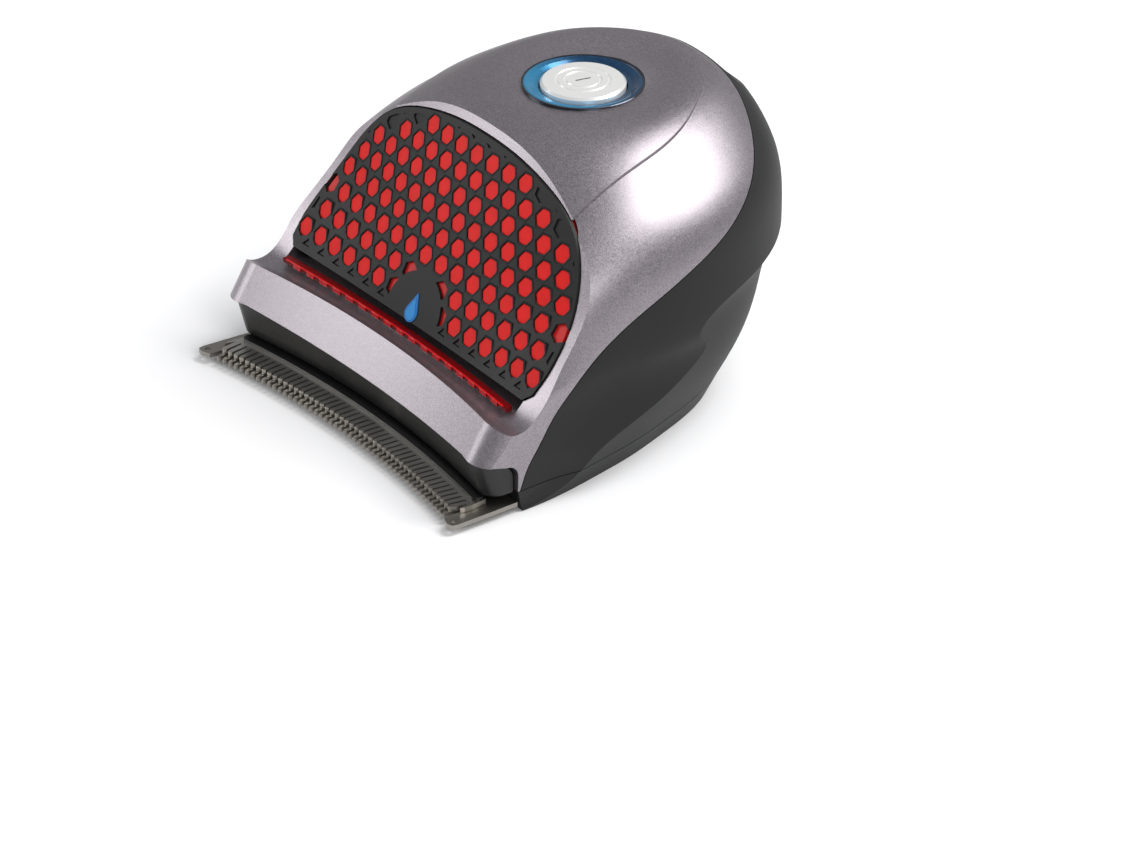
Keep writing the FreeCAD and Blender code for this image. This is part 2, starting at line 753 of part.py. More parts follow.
def toothed_plate(tip_radius, root_radius, rear_radius, half_width, bottom, thickness, ears, fill):
    """Blade: an arc of teeth that fill a share of their pitch, ears and a rear arc."""
    pitch_angle = float(cell("tooth_pitch")) / ARC_RADIUS
    count = int(cell("tooth_count").value)
    start = -pitch_angle * count / 2
    points = []
    for number in range(count):
        middle = start + (number + 0.5) * pitch_angle
        for radius, share in ((root_radius, -0.5), (tip_radius + 0.4, -0.42), (tip_radius, -0.2),
                              (tip_radius, 0.2), (tip_radius + 0.4, 0.42), (root_radius, 0.5)):
            points.append(polar(radius, middle + share * fill * pitch_angle, bottom))
    end_x = points[-1].x
    right = [Vector(x, y, bottom) for x, y in ears]
    left = [Vector(-x, y, bottom) for x, y in reversed(ears)]
    points += right
    steps = 12
    reach = math.asin(half_width / rear_radius)
    for number in range(steps + 1):
        points.append(polar(rear_radius, reach * (1 - 2 * number / steps), bottom))
    points += left
    assert end_x < half_width
    return prism(points, Vector(0, 0, thickness))


comb_bottom = float(cell("comb_blade_bottom"))
comb_thickness = float(cell("comb_blade_thickness"))
comb_top = comb_bottom + comb_thickness
cutter_bottom = comb_top + float(cell("cutter_lift"))
cutter_top = cutter_bottom + float(cell("cutter_thickness"))
blade_screw_x = float(cell("blade_screw_x"))
BLADE_SCREW_Y = -3.15
BLADE_SCREW_R = 0.7
HOLDER_FOOT_R = 1.2


def comb_blade():
    """Fixed lower blade with rounded ears."""
    ears = [(34.6, -14.0), (36.4, -14.6), (37.4, -14.3), (37.6, -13.4), (37.3, -6.0), (37.0, -1.2)]
    blade = toothed_plate(ARC_RADIUS, ARC_RADIUS + 5.0, ARC_RADIUS + 13.4, 36.9, comb_bottom,
                          comb_thickness, ears, 0.62)
    rear = behind(-1.1, -1, 9)
    blade = blade.cut(rear)
    for side in (-1, 1):
        blade = blade.cut(Part.makeCylinder(BLADE_SCREW_R + 0.15, 10, Vector(side * blade_screw_x, BLADE_SCREW_Y, -1)))
        blade = blade.cut(Part.makeCylinder(0.5, 10, Vector(side * 36.3, -13.3, -1)))
    return blade


def moving_cutter():
    """Upper blade that swings about the centre of the tooth arc."""
    half = float(cell("cutter_half_width"))
    ears = [(half - 0.3, -10.9), (half, -10.2), (half, -8.6)]
    return toothed_plate(ARC_RADIUS + 1.3, ARC_RADIUS + 4.8, ARC_RADIUS + 7.9, half - 0.4, cutter_bottom,
                         float(cell("cutter_thickness")), ears, 0.74)


feature("comb_blade", comb_blade())
feature("moving_cutter", moving_cutter())

head_gap = float(cell("head_gap"))
head_bottom = float(cell("head_bottom"))
HOLDER_END = 3.0
HOLDER_LIP = 0.9


def head_holder():
    """Dark block that carries both blades under the nose."""
    half = 36.9
    low_mid, low_fall = -3.3, -0.0027
    high_mid, high_fall = -5.9, -0.0027
    sections = []
    for middle, fall, height in ((low_mid, low_fall, head_bottom), (high_mid, high_fall, 13.0)):
        side_y = middle + fall * half * half
        front = Part.Arc(Vector(-half, side_y, height), Vector(0, middle, height),
                         Vector(half, side_y, height)).toShape()
        rear = polyline([Vector(half, side_y, height), Vector(half, 4.0, height),
                         Vector(-half, 4.0, height), Vector(-half, side_y, height)])
        sections.append(Part.Wire([front] + rear))
    block = Part.makeLoft(sections, True, True)
    ends = [edge for edge in block.Edges if edge.BoundBox.ZLength > 5 and edge.BoundBox.YMax < 0]
    block = block.makeFillet(HOLDER_END, ends)
    lower = [edge for edge in block.Edges if edge.BoundBox.ZMax < head_bottom + 0.05
             and edge.BoundBox.YMax < 3.9 and edge.BoundBox.YMin < -3]
    block = block.makeFillet(HOLDER_LIP, lower)
    gap_side, gap_arch = head_room(head_gap)
    block = block.common(gap_side).common(gap_arch)
    feet = []
    for side in (-1, 1):
        feet.append(Part.makeCylinder(HOLDER_FOOT_R, head_bottom - comb_top + 1.0,
                                      Vector(side * blade_screw_x, BLADE_SCREW_Y, comb_top)))
    block = block.fuse(Part.makeCompound(feet))
    for side in (-1, 1):
        block = block.cut(Part.makeCylinder(BLADE_SCREW_R, 6.0, Vector(side * blade_screw_x, BLADE_SCREW_Y, 0)))
    pocket = Part.makeBox(30.0, 12.0, 5.2, Vector(-15.0, -2.4, 2.0))
    return block.cut(pocket)


feature("head_holder", head_holder())


def blade_screws():
    """Two small countersunk screws that hold the comb blade."""
    screws = []
    for side in (-1, 1):
        x = side * blade_screw_x
        head = Part.makeCone(1.5, BLADE_SCREW_R, 0.6, Vector(x, BLADE_SCREW_Y, comb_bottom - 0.6))
        shank = Part.makeCylinder(BLADE_SCREW_R, 4.8, Vector(x, BLADE_SCREW_Y, comb_bottom))
        screws.append(head.fuse(shank))
    return Part.makeCompound(screws)


feature("blade_screws", blade_screws())

# Cutter carrier with its fork, the leaf spring over it, and the crank that drives it.
def carrier_bar():
    """Narrow curved bar that presses on the whole width of the moving cutter."""
    half = float(cell("carrier_bar_half_width"))
    front, rear = ARC_RADIUS + 5.7, ARC_RADIUS + 8.0
    reach = math.asin(half / front)
    middle = 0.5 * (front + rear)
    edges = [Part.Arc(polar(front, -reach, cutter_top), polar(front, 0, cutter_top),
                      polar(front, reach, cutter_top)).toShape(),
             Part.Arc(polar(front, reach, cutter_top), polar(middle, reach + 0.006, cutter_top),
                      polar(rear, reach, cutter_top)).toShape(),
             Part.Arc(polar(rear, reach, cutter_top), polar(rear, 0, cutter_top),
                      polar(rear, -reach, cutter_top)).toShape(),
             Part.Arc(polar(rear, -reach, cutter_top), polar(middle, -reach - 0.006, cutter_top),
                      polar(front, -reach, cutter_top)).toShape()]
    return Part.Face(Part.Wire(edges)).extrude(Vector(0, 0, CARRIER_BAR_HEIGHT))


CARRIER_BAR_HEIGHT = 0.5
bar = doc.addObject("Part::Feature", "carrier_bar")
bar.Shape = carrier_bar()
bar.Placement = Placement(Vector(0, float(FRONT_Y), 0), Rotation())
carrier_foot = box("carrier_foot", (-9, 9), (-3.0, -1.7), (cutter_top, cutter_top + CARRIER_BAR_HEIGHT))
carrier_block = box("carrier_block", (-9, 9), (-2.1, -1.7), (cutter_top, 6.5))
fork_arm = box("fork_arm", (-4.4, 4.4), (-2.1, 18.6), (4.9, 6.5))
fork_tines = box("fork_tines", (-5.2, 5.2), (18.0, 27.0), (4.9, 6.5))
crank_reach = cell("crank_offset") + cell("crank_pin_radius") + 1.25
fork_slot = box("fork_slot", (-crank_reach, crank_reach), (cell("motor_y") - 3.4, 28.0), (4.0, 7.0))
carrier_solid = fuse("carrier_solid", [bar, carrier_foot, carrier_block, fork_arm, fork_tines])
keep(cut("cutter_carrier", carrier_solid, fork_slot), "cutter_carrier")
keep(box("tension_leaf", (-15, 15), (-2.3, -1.4), (6.6, 6.95)), "tension_leaf")

# ---------------------------------------------------------------- motor and crank
MOTOR_Y = cell("motor_y")
MOTOR_R = cell("motor_radius")
MOTOR_Z = cell("motor_bottom")
SHAFT_R = cell("shaft_radius")
turned("motor_can", (0, MOTOR_Y, MOTOR_Z), [
    (SHAFT_R + 0.05, 0), (3.0, 0), (3.0, 0.9), (MOTOR_R, 0.9), (MOTOR_R, cell("motor_height") - 1),
    (MOTOR_R - 1, cell("motor_height")), (SHAFT_R + 0.05, cell("motor_height"))])
shaft = cylinder("shaft_rod", (0, MOTOR_Y, 8.2), SHAFT_R, MOTOR_Z + cell("motor_height") - 9.2)
keep(fuse("motor_shaft", [shaft, cylinder("shaft_collar", (0, MOTOR_Y, 10.4), 1.8, 0.6)]), "motor_shaft")
crank_disc = cylinder("crank_disc", (0, MOTOR_Y, 7.0), 4.0, 3.2)
crank_pin = cylinder("crank_pin", (cell("crank_offset"), MOTOR_Y, 4.2), cell("crank_pin_radius"), 3.4)
crank_bore = cylinder("crank_bore", (0, MOTOR_Y, 8.2), SHAFT_R, 4.0)
keep(cut("eccentric_crank", fuse("crank_solid", [crank_disc, crank_pin]), crank_bore), "eccentric_crank")

bracket_floor = box("bracket_floor", (-15, 15), (13.6, 32.4), (MOTOR_Z - 1.4 + 0.9, MOTOR_Z + 0.9))
bracket_legs = [box(f"bracket_leg_{name}", span, (20.0, 26.0), (2.0, MOTOR_Z - 0.3))
                for name, span in (("left", (-15, -12.5)), ("right", (12.5, 15)))]
bracket_hole = cylinder("bracket_hole", (0, MOTOR_Y, MOTOR_Z - 3), 3.0, 6.0)
keep(cut("motor_bracket", fuse("bracket_solid", [bracket_floor] + bracket_legs), bracket_hole),
     "motor_bracket")

# ---------------------------------------------------------------- battery
CELL_R = cell("cell_radius")
CELL_Y = cell("cell_y")
CELL_Z = cell("cell_z")
HALF_CELL = cell("cell_length") / 2
battery_body = cylinder("battery_body", (-HALF_CELL, CELL_Y, CELL_Z), CELL_R, cell("cell_length"), "X")
battery_button = cylinder("battery_button", (HALF_CELL, CELL_Y, CELL_Z), 2.6, 0.8, "X")
keep(fuse("battery_cell", [battery_body, battery_button]), "battery_cell")
saddles = []
for name, x in (("left", -18.0), ("right", 13.0)):
    block = box(f"saddle_block_{name}", (x, x + 5.0), (CELL_Y - 5.4, CELL_Y + 5.0),
                (2.0, CELL_Z - 2))
    room = cylinder(f"saddle_room_{name}", (x - 1, CELL_Y, CELL_Z), CELL_R + 0.05, 7.0, "X")
    saddles.append(cut(f"saddle_{name}", block, room))
boss_room = fuse("boss_room", [
    cylinder(f"boss_room_{name}", (side * cell("screw_rear_x"), cell("screw_rear_y"), 0), 3.4, 12.5)
    for name, side in (("left", -1), ("right", 1))])
keep(cut("battery_cradle", fuse("saddles", saddles), boss_room), "battery_cradle")
TAB_RISE = 8.0
tabs = []
for name, x in (("left", -HALF_CELL - 0.3), ("right", HALF_CELL + 0.8)):
    tabs.append(box(f"tab_{name}", (x, x + 0.3), (CELL_Y - 3, CELL_Y + 3), (CELL_Z - 4, CELL_Z + TAB_RISE)))
keep(fuse("battery_tabs", tabs), "battery_tabs")

# ---------------------------------------------------------------- circuit board and switch
BOARD_Z = cell("board_bottom")
BOARD_TOP = BOARD_Z + cell("board_thickness")
BUTTON_Y = cell("button_y")
BUTTON_TOP = cell("button_top")
plate("main_board", (0, BUTTON_Y, BOARD_Z), rectangle(19.0, -13.0, 14.0), cell("board_thickness"),
      [(-12.0, 8.0), (12.0, 8.0)], 1.2)
keep(box("tact_switch", (-3, 3), (BUTTON_Y - 3, BUTTON_Y + 3), (BOARD_TOP, BOARD_TOP + 2.6)), "tact_switch")
lamps = []
for number in range(4):
    turn = math.radians(45 + 90 * number)
    x = 9.1 * math.cos(turn)
    y = BUTTON_Y + 9.1 * math.sin(turn)
    lamps.append(box(f"lamp_{number}", (x - 0.8, x + 0.8), (y - 0.8, y + 0.8), (BOARD_TOP, BOARD_TOP + 0.8)))
keep(fuse("ring_lamps", lamps), "ring_lamps")
keep(box("charge_chip", (8, 14), (BUTTON_Y - 12, BUTTON_Y - 7), (BOARD_TOP, BOARD_TOP + 1.2)), "charge_chip")

# ---------------------------------------------------------------- power button
RING_IN = cell("ring_inner")
RING_OUT = cell("ring_outer")
TRIM_OUT = cell("trim_outer")
PRESS_R = cell("button_radius")
turned("power_button", (0, BUTTON_Y, BUTTON_TOP), [
    (0, -4.4), (8.7, -4.4), (8.7, -3.6), (PRESS_R, -3.6), (PRESS_R, -0.4), (PRESS_R - 0.4, 0),
    (4.75, 0.1), (4.6, -0.05), (4.35, -0.05), (4.2, 0.11), (3.25, 0.13), (3.1, -0.03), (2.85, -0.03),
    (2.7, 0.14), (0, 0.16)])
turned("button_ring", (0, BUTTON_Y, BUTTON_TOP), [
    (RING_IN, -3.4), (RING_OUT, -3.4), (RING_OUT, -0.3), (RING_OUT - 0.35, -0.22), (RING_OUT - 1.0, -0.5),
    (RING_IN + 0.8, -0.95), (RING_IN, -1.05)])
turned("button_trim", (0, BUTTON_Y, BUTTON_TOP), [
    (RING_OUT, -3.4), (TRIM_OUT, -3.4), (TRIM_OUT, -0.3), (TRIM_OUT - 0.1, -0.2), (RING_OUT, -0.25)])
turned("button_seal", (0, BUTTON_Y, BOARD_TOP), [
    (3.3, 2.7), (3.3, 5.7), (4.5, 5.7), (4.9, 3.0), (8.4, 1.0), (8.4, 0.9), (4.2, 2.7)])
turned("ring_holder", (0, BUTTON_Y, BUTTON_TOP), [
    (9.1, -3.45), (TRIM_OUT + 1.2, -3.45), (TRIM_OUT + 1.2, -5.4), (9.1, -5.4)])

# ---------------------------------------------------------------- charging socket and fasteners
SOCKET_Z = cell("socket_z")
MOUTH_Y = cell("socket_mouth_y")
socket_barrel = cylinder("socket_barrel", (0, MOUTH_Y - 10, SOCKET_Z), 4.4, 10, "Y")
socket_bore = cylinder("socket_bore_tool", (0, MOUTH_Y - cell("socket_depth"), SOCKET_Z),
                       cell("socket_bore"), cell("socket_depth") + 1, "Y")
keep(cut("charging_socket", socket_barrel, socket_bore), "charging_socket")

SCREW_R = cell("screw_radius")
screws = []
for number, (x, y) in enumerate(SCREWS):
    screws.append(cylinder(f"screw_head_{number}", (x, y, 0.3), cell("screw_head_radius"), 1.3))
    screws.append(cylinder(f"screw_shank_{number}", (x, y, 1.6), SCREW_R, 7.4))
keep(fuse("housing_screws", screws), "housing_screws")
sleeves = []
bores = []
for number, (x, y) in enumerate(SCREWS):
    sleeves.append(cylinder(f"sleeve_{number}", (x, y, base_height), 3.2, 6.0))
    bores.append(cylinder(f"sleeve_bore_{number}", (x, y, base_height - 1), SCREW_R, 6.0))
keep(cut("screw_sleeves", fuse("sleeve_solids", sleeves), fuse("sleeve_bores", bores)), "screw_sleeves")


# ---------------------------------------------------------------- wiring
def lead(points, radius):
    """Round insulated wire along straight runs joined by tangent arcs."""
    bend = 2.2
    edges = []
    start = points[0]
    for before, corner, after in zip(points, points[1:], points[2:]):
        incoming = (corner - before).normalize()
        outgoing = (after - corner).normalize()
        half_turn = incoming.getAngle(outgoing) / 2
        setback = bend * math.tan(half_turn)
        first = corner - incoming * setback
        last = corner + outgoing * setback
        inward = (outgoing - incoming).normalize()
        middle = corner + inward * (bend / math.cos(half_turn) - bend)
        edges.append(Part.makeLine(start, first))
        edges.append(Part.Arc(first, middle, last).toShape())
        start = last
    edges.append(Part.makeLine(start, points[-1]))
    heading = (points[1] - points[0]).normalize()
    section = Part.Wire(Part.makeCircle(radius, points[0], heading))
    return Part.Wire(edges).makePipeShell([section], True, False)


LEAD_R = 0.6
tab_x = float(cell("cell_length")) / 2
board_z = float(cell("board_bottom"))
cell_y = float(cell("cell_y"))
tab_top = float(cell("cell_z")) + TAB_RISE + 0.2
motor_y = float(cell("motor_y"))
motor_top = float(cell("motor_bottom")) + float(cell("motor_height"))
feature("battery_leads", Part.makeCompound([
    lead([Vector(side * (tab_x + (0.8 if side > 0 else 0.0)), cell_y, tab_top),
          Vector(side * tab_x, cell_y, 34.0), Vector(side * 16.0, cell_y - 2, 34.0),
          Vector(side * 16.0, cell_y - 2, board_z)], LEAD_R) for side in (-1, 1)]))
feature("motor_leads", Part.makeCompound([
    lead([Vector(side * 6.0, motor_y + 3, motor_top), Vector(side * 6.0, motor_y + 3, motor_top + 4.4),
          Vector(side * 6.0, motor_y + 8, motor_top + 4.4), Vector(side * 6.0, motor_y + 8, board_z)],
         LEAD_R) for side in (-1, 1)]))
feature("socket_leads", Part.makeCompound([
    lead([Vector(side * 2.6, float(cell("socket_mouth_y")) - 7.0, 16.2),
          Vector(side * 2.6, 54.0, 31.0), Vector(side * 7.0, 50.0, 34.5), Vector(side * 7.0, 50.0, board_z)],
         LEAD_R) for side in (-1, 1)]))

# ---------------------------------------------------------------- checks and export
doc.recompute()
for obj in doc.Objects:
    if "Invalid" in obj.State or "Error" in obj.State:
        raise RuntimeError(f"{obj.Label} did not build: {obj.State}")
os.makedirs("parts", exist_ok=True)
for obj in SUB_PARTS:
    shape = obj.Shape
    if shape.isNull() or not shape.isValid() or not shape.Solids:
        raise RuntimeError(f"{obj.Label} is not a valid solid")
    shape.exportStep(os.path.join("parts", f"{obj.Label}.step"))
    bounds = shape.BoundBox
    print(f"{obj.Label:18s} {len(shape.Solids):3d} solids {shape.Volume:10.1f} mm3"
          f"  X {bounds.XMin:7.2f} {bounds.XMax:7.2f}  Y {bounds.YMin:7.2f} {bounds.YMax:7.2f}"
          f"  Z {bounds.ZMin:7.2f} {bounds.ZMax:7.2f}")
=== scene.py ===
import json
import math
import bmesh
import bpy
from mathutils import Matrix, Vector
from mathutils.bvhtree import BVHTree


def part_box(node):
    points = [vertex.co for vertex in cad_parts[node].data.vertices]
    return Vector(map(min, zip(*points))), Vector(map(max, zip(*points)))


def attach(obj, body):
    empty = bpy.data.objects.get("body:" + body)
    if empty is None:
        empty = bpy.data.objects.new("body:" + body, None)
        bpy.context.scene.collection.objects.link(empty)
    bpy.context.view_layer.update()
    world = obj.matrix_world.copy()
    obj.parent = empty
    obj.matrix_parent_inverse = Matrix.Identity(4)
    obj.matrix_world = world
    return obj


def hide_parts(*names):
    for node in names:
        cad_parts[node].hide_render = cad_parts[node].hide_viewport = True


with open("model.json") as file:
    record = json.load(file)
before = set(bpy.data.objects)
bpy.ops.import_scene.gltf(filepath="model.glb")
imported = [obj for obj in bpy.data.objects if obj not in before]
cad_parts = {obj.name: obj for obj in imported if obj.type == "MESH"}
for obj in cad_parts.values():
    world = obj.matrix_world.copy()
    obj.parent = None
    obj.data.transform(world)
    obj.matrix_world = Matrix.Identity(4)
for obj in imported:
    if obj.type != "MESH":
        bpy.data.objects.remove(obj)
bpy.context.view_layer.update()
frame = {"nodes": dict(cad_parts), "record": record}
MM = 0.001
NODES = frame["nodes"]


# ------------------------------------------------------------------ shader writing
class Field:
    """A value that varies over a surface: one shader socket that can be reckoned with."""

    def __init__(self, finish, socket):
        self.finish = finish
        self.socket = socket

    def maths(self, operation, *values):
        inputs = dict(enumerate(values))
        return self.finish.add("ShaderNodeMath", {"operation": operation}, inputs)

    def __add__(self, other):
        return self.maths("ADD", self, other)

    def __radd__(self, other):
        return self.maths("ADD", other, self)

    def __sub__(self, other):
        return self.maths("SUBTRACT", self, other)

    def __mul__(self, other):
        return self.maths("MULTIPLY", self, other)

    def __pow__(self, other):
        return self.maths("POWER", self, other)

    def sine(self):
        return self.maths("SINE", self)

    def step(self, low, high):
        """0 below low, 1 above high, smooth between."""
        return self.finish.add("ShaderNodeMapRange", {"interpolation_type": "SMOOTHSTEP"},
                               {"Value": self, "From Min": low, "From Max": high})


class Finish:
    """One procedural material, its shader and the sums behind it."""

    def __init__(self, name, color, metallic=0.0, roughness=0.5, **constants):
        self.material = bpy.data.materials.new(name)
        self.material.use_nodes = True
        self.tree = self.material.node_tree
        self.shader = self.tree.nodes["Principled BSDF"]
        self.plug("Base Color", (*color, 1.0))
        self.plug("Metallic", metallic)
        self.plug("Roughness", roughness)
        for key, value in constants.items():
            self.plug(key.replace("_", " ").title().replace("Ior", "IOR"), value)
        self.material.diffuse_color = (*color, 1.0)
        self.material.metallic = metallic if isinstance(metallic, float) else 0.5
        self.material.roughness = roughness if isinstance(roughness, float) else 0.5

    def add(self, kind, settings, inputs, output=0):
        """Makes a node: settings first, then the values or links of its sockets."""
        node = self.tree.nodes.new(kind)
        for key, value in settings.items():
            setattr(node, key, value)
        for key, value in inputs.items():
            self.join(node.inputs[key], value)
        return Field(self, node.outputs[output])

    def join(self, socket, value):
        """Links a field to a socket, or sets the socket's own value."""
        if isinstance(value, Field):
            self.tree.links.new(value.socket, socket)
        else:
            socket.default_value = value

    def plug(self, name, value):
        self.join(self.shader.inputs[name], value)
        return self

    def place(self):
        """Object coordinates in millimetres."""
        coordinates = self.add("ShaderNodeTexCoord", {}, {}, "Object")
        return self.add("ShaderNodeVectorMath", {"operation": "SCALE"}, {0: coordinates, "Scale": 1000.0})

    def axis(self, name, vector=None):
        """One coordinate of a vector, in millimetres by default."""
        return self.add("ShaderNodeSeparateXYZ", {}, {0: vector or self.place()}, name)

    def noise(self, size, detail=2.0, stretch=(1, 1, 1)):
        """Even noise, 0 to 1, whose lumps are about size millimetres."""
        scale = tuple(1.0 / (size * part) for part in stretch)
        spread = self.add("ShaderNodeVectorMath", {"operation": "MULTIPLY"}, {0: self.place(), 1: scale})
        return self.add("ShaderNodeTexNoise", {}, {"Vector": spread, "Scale": 1.0, "Detail": detail}, 0)

    def flakes(self, size):
        """Random value, 0 to 1, for each cell of about size millimetres."""
        colors = self.add("ShaderNodeTexVoronoi", {}, {"Vector": self.place(), "Scale": 1.0 / size}, "Color")
        return self.axis("X", colors)

    def mix(self, share, first, second):
        """Colour between two colours or fields."""
        node = self.tree.nodes.new("ShaderNodeMix")
        node.data_type = "RGBA"
        for socket, value in ((node.inputs[0], share), (node.inputs[6], first), (node.inputs[7], second)):
            if isinstance(value, tuple) and len(value) == 3:
                value = (*value, 1.0)
            self.join(socket, value)
        return Field(self, node.outputs[2])

    def bump(self, height, strength, depth=0.05):
        """Surface relief from a height field; depth is in millimetres."""
        relief = self.add("ShaderNodeBump", {}, {"Strength": strength, "Distance": depth * MM,
                                                 "Height": height})
        return self.plug("Normal", relief)


# ------------------------------------------------------------------ finishes
def silver_paint():
    """Warm grey metallic paint with a fine flake under a clear coat."""
    finish = Finish("silver_paint", SILVER, 0.9, 0.37, coat_weight=0.1, coat_roughness=0.25)
    sparkle = finish.flakes(0.13)
    cloud = finish.noise(0.6, 3.0)
    flecked = finish.mix(sparkle, shaded(SILVER, 0.7), shaded(SILVER, 1.3))
    finish.plug("Base Color", finish.mix(cloud * 0.4, flecked, SILVER))
    finish.plug("Roughness", 0.33 + sparkle * 0.12)
    return finish.bump(sparkle * 0.6 + finish.noise(0.9) * 0.4, 0.4, 0.016)


def soft_black(name, color=(0.009, 0.009, 0.0095), roughness=0.55, grain=0.24, gloss=0.3):
    """Matte moulded black with a fine spark-eroded grain."""
    finish = Finish(name, color, 0.0, roughness, specular_ior_level=gloss)
    pits = finish.noise(grain, 4.0)
    wear = finish.noise(9.0, 3.0)
    finish.plug("Base Color", finish.mix(wear * 0.6, color, shaded(color, 1.6)))
    finish.plug("Roughness", roughness - 0.06 + pits * 0.16)
    return finish.bump(pits, 0.5, 0.035)


def red_plastic(name, color, roughness=0.4, gloss=0.4):
    """Tinted moulding, slightly cloudy."""
    finish = Finish(name, color, 0.0, roughness, specular_ior_level=gloss)
    cloud = finish.noise(2.2, 3.0)
    finish.plug("Base Color", finish.mix(cloud, shaded(color, 0.75), color))
    finish.plug("Roughness", roughness - 0.05 + finish.noise(0.4) * 0.14)
    return finish.bump(finish.noise(0.35, 3.0), 0.35, 0.02)


def ring_with_painted_light():
    """Blue metallic light guide, with a painted highlight at the front and painted shade towards the rear.
    """
    finish = Finish("ring_painted_light", RING_SHADED_REAR, 0.6, 0.28, coat_weight=0.3, coat_roughness=0.08)
    # Painted light: a painted highlight at the front of the ring turns to painted shade at the rear, by
    # depth.
    rear_shade_share = (finish.axis("Y") - BUTTON_CENTRE[1] / MM).step(-8.0, 5.0)
    haze = finish.noise(0.7, 3.0)
    lit_to_shaded_blue = finish.mix(rear_shade_share, RING_LIT_FRONT, RING_SHADED_REAR)
    finish.plug("Base Color", finish.mix(haze * 0.3, lit_to_shaded_blue, shaded(RING_LIT_FRONT, 0.8)))
    finish.plug("Roughness", 0.2 + haze * 0.12)
    return finish.bump(haze, 0.1, 0.01)


def spun_metal(name, color, roughness, centre, pitch=0.16, metallic=1.0):
    """Metal turned on a lathe: fine rings about an upright axis."""
    finish = Finish(name, color, metallic, roughness)
    across = finish.axis("X") - centre[0] / MM
    along = finish.axis("Y") - centre[1] / MM
    radius = (across * across + along * along) ** 0.5
    rings = (radius * (2 * math.pi / pitch)).sine() * 0.5 + 0.5
    blur = finish.noise(0.5, 3.0)
    finish.plug("Base Color", finish.mix(blur * 0.5, color, shaded(color, 0.85)))
    finish.plug("Roughness", roughness + blur * 0.1)
    return finish.bump(rings * 0.7 + blur * 0.3, 0.2, 0.008)


def ground_steel(name, color, roughness=0.34):
    """Blade steel ground front to rear, with faint heat and oil stains."""
    finish = Finish(name, color, 0.95, roughness)
    lines = finish.noise(0.12, 3.0, stretch=(1, 40, 40))
    stain = finish.noise(3.0, 3.0)
    finish.plug("Base Color", finish.mix(stain * 0.8, color, shaded(color, 0.72)))
    finish.plug("Roughness", roughness - 0.08 + lines * 0.22)
    return finish.bump(lines, 0.35, 0.012)


def plain_moulding(name, color, roughness=0.45, gloss=0.4):
    """Even plastic with a light grain."""
    finish = Finish(name, color, 0.0, roughness, specular_ior_level=gloss)
    grain = finish.noise(0.3, 3.0)
    finish.plug("Base Color", finish.mix(finish.noise(5.0), shaded(color, 0.85), color))
    finish.plug("Roughness", roughness - 0.05 + grain * 0.12)
    return finish.bump(grain, 0.2, 0.02)


def bare_metal(name, color, roughness=0.3):
    """Rolled or plated metal with a slight haze."""
    finish = Finish(name, color, 1.0, roughness)
    haze = finish.noise(0.8, 4.0)
    finish.plug("Base Color", finish.mix(haze, shaded(color, 0.8), color))
    finish.plug("Roughness", roughness - 0.06 + haze * 0.14)
    return finish.bump(haze, 0.15, 0.01)


def shaded(color, share):
    """A colour made darker or lighter by a share."""
    return tuple(min(part * share, 1.0) for part in color)


def middle_of(node):
    """Middle of a node's box, in metres."""
    low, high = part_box(node)
    return tuple((a + b) / 2 for a, b in zip(low, high))


